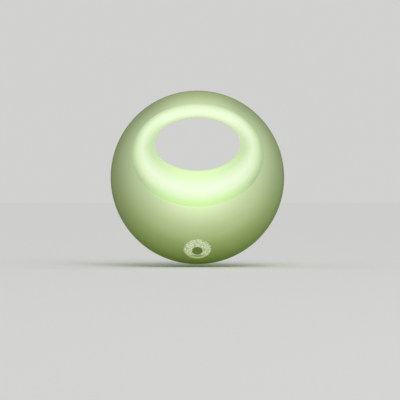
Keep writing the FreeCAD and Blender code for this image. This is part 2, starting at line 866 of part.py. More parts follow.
def shell_screws():
    """Screws that close the ball, put in from the back."""
    seat_y = parting_y + screw_seat_depth
    return Part.makeCompound([screw(x, z, seat_y, shell_screw_length, 1) for x, z in shell_screw_places()])


def board_screws():
    """Screws that hold the main board on its posts, put in from the front."""
    screws = [screw(x, z, board_front_y, board_screw_length, -1) for x, z in board_post_places()]
    return Part.makeCompound(screws)


def plug_screws():
    """Screws that hold the plug nose's ears, put in from the front."""
    length = plate_thickness + plug_screw_bite
    return Part.makeCompound([screw(x, z, plate_front_y, length, -1) for x, z in ear_places()])


def clamp_screw():
    """Screw that holds the pin clamp."""
    return screw(0, 0, clamp_front_y, clamp_thickness + pin_boss_length, -1)


pieces = {
    "front_shell": front_shell(),
    "rear_shell": rear_shell(),
    "ring_diffuser": ring_diffuser(),
    "tunnel_sleeve": tunnel_sleeve(),
    "led_board": led_board(),
    "ring_leds": ring_leds(),
    "led_leads": led_leads(),
    "main_board": main_board(),
    "dropper_capacitor": dropper_capacitor(),
    "smoothing_capacitor": smoothing_capacitor(),
    "bridge_rectifier": bridge_rectifier(),
    "fusible_resistor": axial_part(fuse_legs(), fuse_size),
    "discharge_resistors": discharge_resistors(),
    "zener_diode": axial_part(zener_legs(), zener_size),
    "switching_transistor": switching_transistor(),
    "sensor_window": sensor_window(),
    "sensor_holder": sensor_holder(),
    "light_sensor": light_sensor(),
    "plug_nose": plug_nose(),
    "left_pin": pin(-pin_spacing / 2),
    "right_pin": pin(pin_spacing / 2),
    "left_pin_sleeve": pin_sleeve(-pin_spacing / 2),
    "right_pin_sleeve": pin_sleeve(pin_spacing / 2),
    "pin_clamp": pin_clamp(),
    "clamp_screw": clamp_screw(),
    "mains_leads": mains_leads(),
    "shell_screws": shell_screws(),
    "board_screws": board_screws(),
    "plug_screws": plug_screws(),
}

os.makedirs("parts", exist_ok=True)
for name, shape in pieces.items():
    shape.exportStep(f"parts/{name}.step")
    print(name, len(shape.Solids), shape.isValid(), round(sum(solid.Volume for solid in shape.Solids), 2))
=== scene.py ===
import bpy
import json
import math
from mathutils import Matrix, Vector


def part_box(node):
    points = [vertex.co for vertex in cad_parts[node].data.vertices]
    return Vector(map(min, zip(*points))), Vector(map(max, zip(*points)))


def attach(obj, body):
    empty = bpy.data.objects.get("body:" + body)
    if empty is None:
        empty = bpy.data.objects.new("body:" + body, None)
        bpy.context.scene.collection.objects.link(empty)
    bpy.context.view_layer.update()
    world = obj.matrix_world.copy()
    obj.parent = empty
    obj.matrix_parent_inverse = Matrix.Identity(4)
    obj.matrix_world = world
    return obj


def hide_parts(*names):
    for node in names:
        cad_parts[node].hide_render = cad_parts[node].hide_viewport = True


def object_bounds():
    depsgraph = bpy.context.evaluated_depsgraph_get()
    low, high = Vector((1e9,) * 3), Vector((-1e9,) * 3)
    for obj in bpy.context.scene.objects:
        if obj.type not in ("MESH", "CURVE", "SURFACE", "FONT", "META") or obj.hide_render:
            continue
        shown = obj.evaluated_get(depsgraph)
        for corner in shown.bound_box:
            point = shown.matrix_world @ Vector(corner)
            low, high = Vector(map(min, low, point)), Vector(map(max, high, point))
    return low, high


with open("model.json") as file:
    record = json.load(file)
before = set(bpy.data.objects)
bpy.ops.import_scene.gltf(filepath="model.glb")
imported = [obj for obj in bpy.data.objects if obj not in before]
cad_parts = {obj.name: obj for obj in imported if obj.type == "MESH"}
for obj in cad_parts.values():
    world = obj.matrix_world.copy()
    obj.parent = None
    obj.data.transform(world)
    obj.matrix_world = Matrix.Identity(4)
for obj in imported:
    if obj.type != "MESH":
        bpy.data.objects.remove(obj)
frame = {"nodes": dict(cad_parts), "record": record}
cad_low, cad_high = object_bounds()

# Lengths are in metres, in the lamp's own frame: -Y is its lit front and +Z is up
mm = 0.001
shell_low, shell_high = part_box("rear_shell")
ball_radius = (shell_high.x - shell_low.x) / 2
ball_z = (shell_high.z + shell_low.z) / 2
parting_y = shell_low.y
back_y = shell_high.y
front_depth = 25 * mm
rear_corner = 10 * mm
shell_wall = 2.2 * mm
flat_radius = ball_radius - rear_corner
front_columns = 208
rear_columns = 176

# Edges that turn by more than this, in degrees, stay sharp: on mouldings, and on copies of CAD pieces
moulded_angle = 40.0
copied_angle = 35.0

# Ovals of the see-through hole: half width, half height and rise above the ball's centre
seam = (28.4 * mm, 22.4 * mm, 9.5 * mm)
throat = (18.8 * mm, 11.6 * mm, 14.7 * mm)
mouth = (22.5 * mm, 14.5 * mm, 13.0 * mm)
seam_gap = 0.15 * mm
ring_wall = 1.8 * mm
ring_recess = 0.4 * mm
ring_rim_gap = 0.01 * mm
ring_thickness_at_seam = 4.4 * mm
sleeve_thickness_at_mouth = 2.2 * mm

# Sensor window and its seat: a crowned disc on a narrower foot, with a dimple over the light sensor.
# It lies below the ball's centre by its drop. Depths are measured inward from the dome's surface, but the
# dimple's rim from the crown's top, and the dimple from its rim
window_drop = 31.5 * mm
window_steps = 96
window_radius = 6.05 * mm
window_edge_round = 0.25 * mm
window_edge_depth = 0.85 * mm
window_step_depth = 1.6 * mm
window_foot_radius = 4.65 * mm
window_foot_depth = 2.6 * mm
window_crown_depth = 0.1 * mm
window_crown_radius = 33 * mm
dimple_radius = 2.5 * mm
dimple_depth = 0.3 * mm
dimple_rim_depth = 0.09 * mm
seat_radius = window_radius + 0.05 * mm
seat_foot_radius = window_foot_radius + 0.1 * mm
seat_chamfer = 0.2 * mm
seat_chamfer_depth = 0.35 * mm

# Plug nose: an eight-sided bar that stands out of the flat back
nose_half_width = 17.65 * mm
nose_half_height = 6.85 * mm
nose_corner = 4.5 * mm
nose_gap = 0.2 * mm
nose_edge_round = 0.7 * mm

# Wells of the shell screws in the flat back, beside and below the ball's centre
well_steps = 48
well_radius = 2.65 * mm
well_mouth_radius = 3.2 * mm
well_mouth_depth = 1.2 * mm
well_chamfer = 0.3 * mm
well_side = 26.4 * mm
well_drop = 10.7 * mm

# Height above the ball's centre of the point that the ring's glow turns about
glow_rise = 13 * mm

# Camera: the photo's pixel frame is 400 wide, and one pixel is this long at the ball's widest place
photo_pixels = 400
pixel = 0.438 * mm
ball_pixel_x = 197.4
ball_pixel_y = 177.4
camera_distance = 0.9
sensor_width = 36.0


def deselect():
    """Leaves nothing selected."""
    if bpy.context.object and bpy.context.object.mode != "OBJECT":
        bpy.ops.object.mode_set(mode="OBJECT")
    bpy.ops.object.select_all(action="DESELECT")


def only(piece):
    """Selects one piece and makes it active."""
    deselect()
    piece.select_set(True)
    bpy.context.view_layer.objects.active = piece


def settled(piece, name):
    """Puts a new piece's place into its mesh, names it and points its faces outward."""
    only(piece)
    bpy.ops.object.transform_apply(location=True, rotation=True, scale=True)
    piece.name = name
    piece.data.name = name
    bpy.ops.object.mode_set(mode="EDIT")
    bpy.ops.mesh.select_all(action="SELECT")
    bpy.ops.mesh.remove_doubles(threshold=1e-7)
    bpy.ops.mesh.normals_make_consistent(inside=False)
    bpy.ops.object.mode_set(mode="OBJECT")
    return piece


def dressed(piece, nodes, slot, sharp_angle=moulded_angle):
    """Shades a piece, gives it its slot's finish and lets it stand for its CAD nodes."""
    only(piece)
    bpy.ops.object.shade_smooth_by_angle(angle=math.radians(sharp_angle))
    piece.data.materials.clear()
    piece.data.materials.append(finishes[slot])
    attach(piece, "root")
    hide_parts(*nodes)
    deselect()


def cut_with(piece, tool):
    """Takes a tool's shape out of a piece, and the tool with it."""
    only(piece)
    cut = piece.modifiers.new("cut", "BOOLEAN")
    cut.operation = "DIFFERENCE"
    cut.solver = "EXACT"
    cut.object = tool
    bpy.ops.object.modifier_apply(modifier=cut.name)
    bpy.data.objects.remove(tool)


def rolled_ring(name, columns, profile):
    """Torus reshaped column by column: profile(angle) gives the closed section's points."""
    rows = len(profile(0.0))
    deselect()
    bpy.ops.mesh.primitive_torus_add(major_segments=columns, minor_segments=rows, location=(0, 0, 0))
    ring = bpy.context.object
    for column in range(columns):
        points = profile(2 * math.pi * column / columns)
        for row, point in enumerate(points):
            ring.data.vertices[column * rows + row].co = point
    return settled(ring, name)


def spun(name, outline, origin, outward, steps):
    """Disc pulled up ring by ring to an outline of radius and height, then laid along outward from origin."""
    deselect()
    radius, height = outline[0]
    place = (0, 0, height)
    bpy.ops.mesh.primitive_circle_add(vertices=steps, radius=radius, fill_type="NGON", location=place)
    piece = bpy.context.object
    bpy.ops.object.transform_apply(location=True, rotation=True, scale=True)
    bpy.ops.object.mode_set(mode="EDIT")
    bpy.ops.mesh.select_all(action="SELECT")
    for next_radius, next_height in outline[1:]:
        step_up = next_height - height
        bpy.ops.mesh.extrude_region_move(TRANSFORM_OT_translate={"value": (0, 0, step_up)})
        growth = next_radius / radius
        bpy.ops.transform.resize(value=(growth, growth, 1), center_override=(0, 0, next_height))
        radius, height = next_radius, next_height
    bpy.ops.object.mode_set(mode="OBJECT")
    piece.rotation_euler = outward.to_track_quat("Z", "Y").to_euler()
    piece.location = origin
    return settled(piece, name)


def oval_point(oval, angle, border=0.0):
    """Place on an oval's rim in the front view, from the ball's centre."""
    half_width, half_height, rise = oval
    return Vector(((half_width + border) * math.cos(angle), rise + (half_height + border) * math.sin(angle)))


def circle_point(radius, angle):
    """Place on a circle in the front view, from the ball's centre."""
    return Vector((radius * math.cos(angle), radius * math.sin(angle)))


def in_lamp(flat, y):
    """Point of the lamp from its place in the front view and its y."""
    return Vector((flat.x, y, ball_z + flat.y))


def dome_y(flat, inset=0.0):
    """Y of the dome's surface at a place of the front view."""
    share = min(flat.length / (ball_radius - inset), 1.0)
    return parting_y - (front_depth - inset) * math.sqrt(1 - share**2)


def front_shell_profile(angle):
    """Section of the front shell: rounded lip at the seam, outer face, parting edge and inner face."""
    lip = 0.45 * mm
    edge = 0.25 * mm
    inner_radius = ball_radius - shell_wall
    lip_steps = 6
    face_steps = 44
    inner_steps = 12
    points = []
    for step in range(lip_steps + 1):
        round_turn = math.pi / 2 * step / lip_steps
        flat = oval_point(seam, angle, lip * (1 - math.cos(round_turn)))
        points.append(in_lamp(flat, dome_y(flat, lip * (1 - math.sin(round_turn)))))
    for step in range(1, face_steps + 1):
        share = 1 - (1 - step / face_steps) ** 2
        share = share * (1 - (edge / ball_radius) ** 2)
        flat = oval_point(seam, angle, lip).lerp(circle_point(ball_radius, angle), share)
        points.append(in_lamp(flat, dome_y(flat)))
    points[-1].y = parting_y - edge
    points.append(in_lamp(circle_point(ball_radius - edge / 3, angle), parting_y - edge / 3))
    points.append(in_lamp(circle_point(ball_radius - edge, angle), parting_y))
    points.append(in_lamp(circle_point(inner_radius, angle), parting_y))
    for step in range(1, inner_steps + 1):
        flat = oval_point(seam, angle).lerp(circle_point(inner_radius, angle), 1 - step / inner_steps)
        points.append(in_lamp(flat, dome_y(flat, shell_wall)))
    return points


def rear_shell_profile(angle):
    """Section of the rear shell: lip at the mouth, flat back, round corner, parting groove and inner face."""
    lip = 0.4 * mm
    groove = 0.4 * mm
    depth = back_y - parting_y
    lip_steps = 4
    flat_steps = 8
    corner_steps = 28
    inner_steps = 10
    points = []
    for step in range(lip_steps + 1):
        round_turn = math.pi / 2 * step / lip_steps
        flat = oval_point(mouth, angle, seam_gap + lip * (1 - math.cos(round_turn)))
        points.append(in_lamp(flat, back_y - lip * (1 - math.sin(round_turn))))
    for step in range(1, flat_steps + 1):
        outer = circle_point(flat_radius, angle)
        flat = oval_point(mouth, angle, seam_gap + lip).lerp(outer, step / flat_steps)
        points.append(in_lamp(flat, back_y))
    for step in range(1, corner_steps + 1):
        turn = math.pi / 2 * (1 - step / corner_steps)
        radius = flat_radius + rear_corner * math.cos(turn)
        y = parting_y + groove + (depth - groove) * math.sin(turn)
        points.append(in_lamp(circle_point(radius, angle), y))
    points.append(in_lamp(circle_point(ball_radius - groove, angle), parting_y + groove))
    points.append(in_lamp(circle_point(ball_radius - groove, angle), parting_y))
    points.append(in_lamp(circle_point(ball_radius - shell_wall, angle), parting_y))
    for step in range(1, inner_steps + 1):
        turn = math.pi / 2 * step / inner_steps
        radius = flat_radius + (rear_corner - shell_wall) * math.cos(turn)
        y = parting_y + (depth - shell_wall) * math.sin(turn)
        points.append(in_lamp(circle_point(radius, angle), y))
    flat = oval_point(mouth, angle, seam_gap)
    points.append(in_lamp(flat, back_y - shell_wall))
    return points


def rolled_profile(rim, rim_border, rim_y, thickness, angle, recess):
    """Section of a wall that rolls from a rim to the throat at the parting plane.

    The thickness is the way along Y from the rim to the hidden side, below 0 where that side lies before it.
    """
    edge = math.copysign(0.3 * mm, thickness)
    shown_steps = 26
    hidden_steps = 10
    points = []
    start = oval_point(rim, angle, rim_border)
    end = oval_point(throat, angle)
    start_y = rim_y(start) + recess
    for step in range(shown_steps + 1):
        roll = math.pi / 2 * step / shown_steps
        flat = end.lerp(start, 1 - math.sin(roll))
        points.append(in_lamp(flat, start_y + (parting_y - start_y) * (1 - math.cos(roll))))
    hidden_end = oval_point(throat, angle, ring_wall)
    hidden_y = rim_y(start) + thickness
    for step in range(hidden_steps + 1):
        roll = math.pi / 2 * (1 - step / hidden_steps)
        flat = hidden_end.lerp(start, 1 - math.sin(roll))
        points.append(in_lamp(flat, hidden_y + (parting_y - hidden_y) * (1 - math.cos(roll))))
    points.append(in_lamp(start, start_y + edge))
    return points


def ring_profile(angle):
    """Section of the glowing ring diffuser, which fits closely inside the shell's lip."""
    return rolled_profile(seam, -ring_rim_gap, dome_y, ring_thickness_at_seam, angle, ring_recess)


def sleeve_rim_y(flat):
    """Y of the sleeve's rim, the same at every place of the front view."""
    return back_y - ring_recess


def sleeve_profile(angle):
    """Section of the tunnel's rear sleeve, whose rim lies just below the flat back."""
    return rolled_profile(mouth, 0.0, sleeve_rim_y, -sleeve_thickness_at_mouth, angle, 0.0)


def window_axis():
    """Middle of the sensor window on the dome's surface and its outward direction."""
    flat = Vector((0, -window_drop))
    y = dome_y(flat)
    outward = Vector((0, (y - parting_y) / front_depth**2, -window_drop / ball_radius**2))
    return in_lamp(flat, y), outward.normalized()


def node_tree(name):
    """New material with its nodes and its Principled shader."""
    material = bpy.data.materials.new(name)
    material.use_nodes = True
    tree = material.node_tree
    return material, tree, tree.nodes["Principled BSDF"]


def add(tree, kind, **values):
    """New node with its settings."""
    node = tree.nodes.new(kind)
    for key, value in values.items():
        setattr(node, key, value)
    return node


def feed(tree, source, target):
    """Links a socket, or sets a plain value."""
    if isinstance(source, bpy.types.NodeSocket):
        tree.links.new(source, target)
    else:
        target.default_value = source


def math_node(tree, operation, first, second=0.0, third=None, clamp=False):
    """Result of one sum."""
    node = add(tree, "ShaderNodeMath", operation=operation, use_clamp=clamp)
    feed(tree, first, node.inputs[0])
    feed(tree, second, node.inputs[1])
    if third is not None:
        feed(tree, third, node.inputs[2])
    return node.outputs[0]


def length_node(tree, across, up):
    """Length of the line with these two sides."""
    across_square = math_node(tree, "MULTIPLY", across, across)
    up_square = math_node(tree, "MULTIPLY", up, up)
    return math_node(tree, "SQRT", math_node(tree, "ADD", across_square, up_square))


def fading(tree, value, slope, start):
    """Share that changes evenly with a value and stays between 0 and 1."""
    return math_node(tree, "MULTIPLY_ADD", value, slope, start, clamp=True)


def ramp(tree, value, stops, interpolation="EASE"):
    """Colours placed along a value."""
    node = add(tree, "ShaderNodeValToRGB")
    node.color_ramp.interpolation = interpolation
    elements = node.color_ramp.elements
    while len(elements) > 1:
        elements.remove(elements[-1])
    elements[0].position = stops[0][0]
    elements[0].color = (*stops[0][1], 1)
    for place, colour in stops[1:]:
        element = elements.new(place)
        element.color = (*colour, 1)
    feed(tree, value, node.inputs[0])
    return node.outputs[0]


def mixed(tree, share, first, second, blend="MIX"):
    """Two colours mixed by a share."""
    node = add(tree, "ShaderNodeMix", data_type="RGBA", blend_type=blend)
    feed(tree, share, node.inputs[0])
    feed(tree, first if isinstance(first, bpy.types.NodeSocket) else (*first, 1), node.inputs[6])
    feed(tree, second if isinstance(second, bpy.types.NodeSocket) else (*second, 1), node.inputs[7])
    return node.outputs[2]


def srgb(red, green, blue):
    """Colour as it is seen, from 0 to 255, in the shader's linear numbers."""
    parts = []
    for part in (red, green, blue):
        share = part / 255
        parts.append(share / 12.92 if share <= 0.04045 else ((share + 0.055) / 1.055) ** 2.4)
    return tuple(parts)


def moulded_skin_group():
    """Fine skin of a moulded part: a height, a roughness and a tone that vary a little."""
    group = bpy.data.node_groups.new("moulded_skin", "ShaderNodeTree")
    group.interface.new_socket("Scale", in_out="INPUT", socket_type="NodeSocketFloat")
    group.interface.new_socket("Roughness", in_out="INPUT", socket_type="NodeSocketFloat")
    group.interface.new_socket("Spread", in_out="INPUT", socket_type="NodeSocketFloat")
    group.interface.new_socket("Height", in_out="OUTPUT", socket_type="NodeSocketFloat")
    group.interface.new_socket("Roughness", in_out="OUTPUT", socket_type="NodeSocketFloat")
    group.interface.new_socket("Tone", in_out="OUTPUT", socket_type="NodeSocketFloat")
    given = group.nodes.new("NodeGroupInput")
    result = group.nodes.new("NodeGroupOutput")
    place = add(group, "ShaderNodeTexCoord")
    grain = add(group, "ShaderNodeTexNoise")
    grain.inputs["Detail"].default_value = 3
    group.links.new(place.outputs["Object"], grain.inputs["Vector"])
    group.links.new(given.outputs["Scale"], grain.inputs["Scale"])
    cloud = add(group, "ShaderNodeTexNoise")
    cloud.inputs["Scale"].default_value = 45
    cloud.inputs["Detail"].default_value = 2
    group.links.new(place.outputs["Object"], cloud.inputs["Vector"])
    sway = math_node(group, "SUBTRACT", cloud.outputs["Fac"], 0.5)
    rough = math_node(group, "MULTIPLY_ADD", sway, given.outputs["Spread"], given.outputs["Roughness"])
    tone = math_node(group, "MULTIPLY_ADD", sway, 0.12, 1.0)
    group.links.new(grain.outputs["Fac"], result.inputs["Height"])
    group.links.new(rough, result.inputs["Roughness"])
    group.links.new(tone, result.inputs["Tone"])
    return group


moulded_skin = moulded_skin_group()


def with_skin(tree, shader, scale, roughness, spread, bump, depth=0.03 * mm):
    """Puts the fine moulded skin on a shader and returns its tone."""
    skin = add(tree, "ShaderNodeGroup", node_tree=moulded_skin)
    skin.inputs["Scale"].default_value = scale
    skin.inputs["Roughness"].default_value = roughness
    skin.inputs["Spread"].default_value = spread
    relief = add(tree, "ShaderNodeBump")
    relief.inputs["Strength"].default_value = bump
    relief.inputs["Distance"].default_value = depth
    tree.links.new(skin.outputs["Height"], relief.inputs["Height"])
    tree.links.new(relief.outputs["Normal"], shader.inputs["Normal"])
    tree.links.new(skin.outputs["Roughness"], shader.inputs["Roughness"])
    return skin.outputs["Tone"]


def toned(tree, tone, colour):
    """Colour with the skin's slight change of tone."""
    return mixed(tree, 1.0, colour, tone, "MULTIPLY")


def plain_plastic(name, colour, roughness, scale=1800.0, bump=0.05):
    """Moulded plastic of one colour with its fine skin."""
    material, tree, shader = node_tree(name)
    tone = with_skin(tree, shader, scale, roughness, 0.14, bump)
    tree.links.new(toned(tree, tone, colour), shader.inputs["Base Color"])
    return material


def front_view_place(tree):
    """X and z of the surface from the ball's centre, in millimetres, and y behind the parting plane."""
    place = add(tree, "ShaderNodeTexCoord")
    parts = add(tree, "ShaderNodeSeparateXYZ")
    tree.links.new(place.outputs["Object"], parts.inputs[0])
    x = math_node(tree, "MULTIPLY", parts.outputs[0], 1 / mm)
    y = math_node(tree, "MULTIPLY_ADD", parts.outputs[1], 1 / mm, -parting_y / mm)
    z = math_node(tree, "MULTIPLY_ADD", parts.outputs[2], 1 / mm, -ball_z / mm)
    return x, y, z


def oval_measure(tree, x, z, oval):
    """How far out a place is from an oval's middle: 1 on the oval."""
    half_width, half_height, rise = (length / mm for length in oval)
    across = math_node(tree, "MULTIPLY", x, 1 / half_width)
    up = math_node(tree, "MULTIPLY", math_node(tree, "SUBTRACT", z, rise), 1 / half_height)
    return length_node(tree, across, up)


def direction_measure(tree, x, z, rise):
    """Sine of the direction from a point on the middle line: -1 below it, 0 beside it, 1 above it."""
    lifted = math_node(tree, "SUBTRACT", z, rise / mm)
    distance = math_node(tree, "MAXIMUM", length_node(tree, x, lifted), 0.001)
    return math_node(tree, "DIVIDE", lifted, distance)


def between_measures(tree, inner, outer, weight):
    """Share of the way from a line where inner is 0 to a line where outer is 0."""
    whole = math_node(tree, "ADD", inner, math_node(tree, "MULTIPLY_ADD", outer, weight, 0.0001))
    return math_node(tree, "DIVIDE", inner, whole)


def front_measures_group():
    """Where a place lies in the lamp's front view, for the glow of the shell, the ring and the sleeve.

    Depth is in millimetres behind the parting plane. Edge runs from 1 at the ball's axis to 0 at its edge.
    Shell Share runs from the seam to the ball's edge, and Ring Share from the throat to the seam.
    Shell Turn runs from 0 below the hole to 1 above it, and Ring Turn from -1 to 1.
    Left Dimming is 1 except toward the left side, where it falls.
    """
    group = bpy.data.node_groups.new("front_measures", "ShaderNodeTree")
    for name in ("Depth", "Edge", "Shell Share", "Ring Share", "Shell Turn", "Ring Turn", "Left Dimming"):
        group.interface.new_socket(name, in_out="OUTPUT", socket_type="NodeSocketFloat")
    result = group.nodes.new("NodeGroupOutput").inputs
    x, y, z = front_view_place(group)
    to_seam = oval_measure(group, x, z, seam)
    past_seam = math_node(group, "SUBTRACT", to_seam, 1.0, clamp=True)
    inside_seam = math_node(group, "SUBTRACT", 1.0, to_seam, clamp=True)
    past_throat = math_node(group, "SUBTRACT", oval_measure(group, x, z, throat), 1.0, clamp=True)
    radius_share = math_node(group, "MULTIPLY", length_node(group, x, z), mm / ball_radius)
    edge = math_node(group, "SUBTRACT", 1.0, radius_share, clamp=True)
    shell_direction = direction_measure(group, x, z, seam[2])
    dimming_slope, dimming_middle = 0.0062, 1.06
    dimming = math_node(group, "MULTIPLY_ADD", x, dimming_slope, dimming_middle)
    group.links.new(y, result["Depth"])
    group.links.new(edge, result["Edge"])
    group.links.new(between_measures(group, past_seam, edge, ball_radius / seam[1]), result["Shell Share"])
    group.links.new(between_measures(group, past_throat, inside_seam, 1.0), result["Ring Share"])
    group.links.new(math_node(group, "MULTIPLY_ADD", shell_direction, 0.5, 0.5), result["Shell Turn"])
    group.links.new(direction_measure(group, x, z, glow_rise), result["Ring Turn"])
    group.links.new(math_node(group, "MINIMUM", dimming, 1.0), result["Left Dimming"])
    return group


front_measures = front_measures_group()


def satin(shader):
    """Weak satin sheen of translucent plastic."""
    shader.inputs["Specular IOR Level"].default_value = 0.1
    shader.inputs["IOR"].default_value = 1.45


def lit_up(tree, shader, glow, strength):
    """Gives a shader its own light."""
    tree.links.new(glow, shader.inputs["Emission Color"])
    shader.inputs["Emission Strength"].default_value = strength


def shell_glow(tree, measures):
    """Light that leaves the shell: strongest below the seam, less beside and above, and faint on the back."""
    share = measures["Shell Share"]
    turn = measures["Shell Turn"]
    below = ramp(tree, share, [
        (0.0, (0.56, 0.64, 0.46)),
        (0.35, (0.3, 0.34, 0.22)),
        (0.65, (0.13, 0.165, 0.07)),
        (1.0, (0.03, 0.05, 0)),
    ], "LINEAR")
    beside = ramp(tree, share, [
        (0.0, (0.3, 0.35, 0.26)),
        (0.87, (0.11, 0.135, 0.07)),
        (1.0, (0, 0, 0)),
    ], "LINEAR")
    lowness = fading(tree, turn, -2.6, 1.0)
    lowness = math_node(tree, "POWER", lowness, 1.7)
    topness = ramp(tree, turn, [(0.0, (1, 1, 1)), (0.85, (1, 1, 1)), (1.0, (1.24, 1.24, 1.2))], "LINEAR")
    glow = mixed(tree, lowness, beside, below)
    glow = mixed(tree, 1.0, glow, topness, "MULTIPLY")
    glow = mixed(tree, 1.0, glow, measures["Left Dimming"], "MULTIPLY")
    front_share = fading(tree, measures["Depth"], -0.1, 0.6)
    back_glow = (0.085, 0.115, 0.04)
    return mixed(tree, front_share, back_glow, glow)


def shell_colour_with_painted_shade(tree, measures):
    """Colour of the shell's plastic, pistachio, with painted shade that darkens its front toward the edge,
    most below the hole.
    """
    turn = measures["Shell Turn"]
    middle = ramp(tree, turn, [
        (0.0, srgb(136, 156, 86)),
        (0.5, srgb(136, 154, 92)),
        (1.0, srgb(140, 156, 98)),
    ])
    # Painted shade: olive toward the front's edge, darkest at the bottom and lightest at the top
    border = ramp(tree, turn, [
        (0.0, srgb(92, 118, 40)),
        (0.5, srgb(96, 112, 52)),
        (0.85, srgb(98, 114, 64)),
        (1.0, srgb(122, 138, 84)),
    ])
    edge_share = fading(tree, measures["Edge"], -3.4, 1.0)
    front_share = fading(tree, measures["Depth"], -0.12, 0.45)
    return mixed(tree, math_node(tree, "MULTIPLY", edge_share, front_share), middle, border)


def lit_shell():
    """Translucent pistachio plastic, palest beside the glowing ring, and olive toward the ball's edge with
    painted shade.
    """
    material, tree, shader = node_tree("lit_pistachio_shell")
    measures = add(tree, "ShaderNodeGroup", node_tree=front_measures).outputs
    tone = with_skin(tree, shader, 1500.0, 0.42, 0.1, 0.04)
    tree.links.new(toned(tree, tone, shell_colour_with_painted_shade(tree, measures)), shader.inputs["Base Color"])
    lit_up(tree, shader, shell_glow(tree, measures), 1.0)
    satin(shader)
    return material


def ring_glow(tree, measures):
    """Light that leaves the roll: whitest on its crest, dimmer beside the hole, green below at the seam."""
    share = measures["Ring Share"]
    turn = measures["Ring Turn"]
    below = ramp(tree, share, [
        (0.0, srgb(150, 185, 120)),
        (0.1, srgb(196, 222, 170)),
        (0.35, srgb(202, 225, 176)),
        (0.69, srgb(217, 224, 211)),
        (0.82, srgb(210, 223, 193)),
        (0.94, srgb(182, 219, 141)),
    ], "LINEAR")
    # Beside and above the hole, the glow darkens at the ring's outer border: painted shade along the seam
    beside = ramp(tree, share, [
        (0.0, srgb(170, 190, 145)),
        (0.3, srgb(176, 195, 157)),
        (0.66, srgb(207, 217, 194)),
        (0.83, srgb(187, 204, 166)),
        (1.0, srgb(128, 145, 110)),
    ], "LINEAR")
    above = ramp(tree, share, [
        (0.0, srgb(180, 196, 152)),
        (0.38, srgb(220, 232, 206)),
        (0.66, srgb(220, 231, 208)),
        (0.86, srgb(204, 221, 186)),
        (1.0, srgb(165, 180, 142)),
    ], "LINEAR")
    low_inside = fading(tree, turn, -1.14, -0.14)
    low_border = fading(tree, turn, -2.0, -1.02)
    borderness = fading(tree, share, 6.5, -5.2)
    low = mixed(tree, borderness, low_inside, low_border)
    high = math_node(tree, "MULTIPLY", turn, 1.45, clamp=True)
    glow = mixed(tree, high, mixed(tree, low, beside, below), above)
    inner_share = fading(tree, share, -2.0, 1.4)
    dimming = mixed(tree, inner_share, (1, 1, 1), measures["Left Dimming"])
    return mixed(tree, 1.0, glow, dimming, "MULTIPLY")


def glowing_ring():
    """Opal roll lit from behind."""
    material, tree, shader = node_tree("glowing_opal_ring")
    measures = add(tree, "ShaderNodeGroup", node_tree=front_measures).outputs
    tone = with_skin(tree, shader, 1500.0, 0.42, 0.08, 0.03)
    tree.links.new(toned(tree, tone, srgb(130, 146, 106)), shader.inputs["Base Color"])
    lit_up(tree, shader, ring_glow(tree, measures), 1.0)
    satin(shader)
    return material


def opal_sleeve():
    """Opal plastic of the tunnel's rear half, lit most beside the throat."""
    material, tree, shader = node_tree("opal_tunnel_sleeve")
    measures = add(tree, "ShaderNodeGroup", node_tree=front_measures).outputs
    depth_share = math_node(tree, "MULTIPLY", measures["Depth"], mm / (back_y - parting_y), clamp=True)
    glow = ramp(tree, depth_share, [
        (0.0, srgb(196, 222, 160)),
        (0.5, srgb(150, 176, 116)),
        (1.0, srgb(176, 200, 142)),
    ])
    tone = with_skin(tree, shader, 1500.0, 0.4, 0.1, 0.04)
    tree.links.new(toned(tree, tone, srgb(182, 198, 154)), shader.inputs["Base Color"])
    lit_up(tree, shader, glow, 0.4)
    return material


def window_place(tree):
    """Coordinates in the window's own plane, and millimetres across and up from its middle."""
    middle, outward = window_axis()
    place = add(tree, "ShaderNodeTexCoord")
    local = add(tree, "ShaderNodeMapping", vector_type="TEXTURE")
    local.inputs["Location"].default_value = middle
    local.inputs["Rotation"].default_value = outward.to_track_quat("Z", "Y").to_euler()
    tree.links.new(place.outputs["Object"], local.inputs["Vector"])
    parts = add(tree, "ShaderNodeSeparateXYZ")
    tree.links.new(local.outputs[0], parts.inputs[0])
    across = math_node(tree, "MULTIPLY", parts.outputs[0], 1 / mm)
    up = math_node(tree, "MULTIPLY", parts.outputs[1], 1 / mm)
    return local.outputs[0], across, up


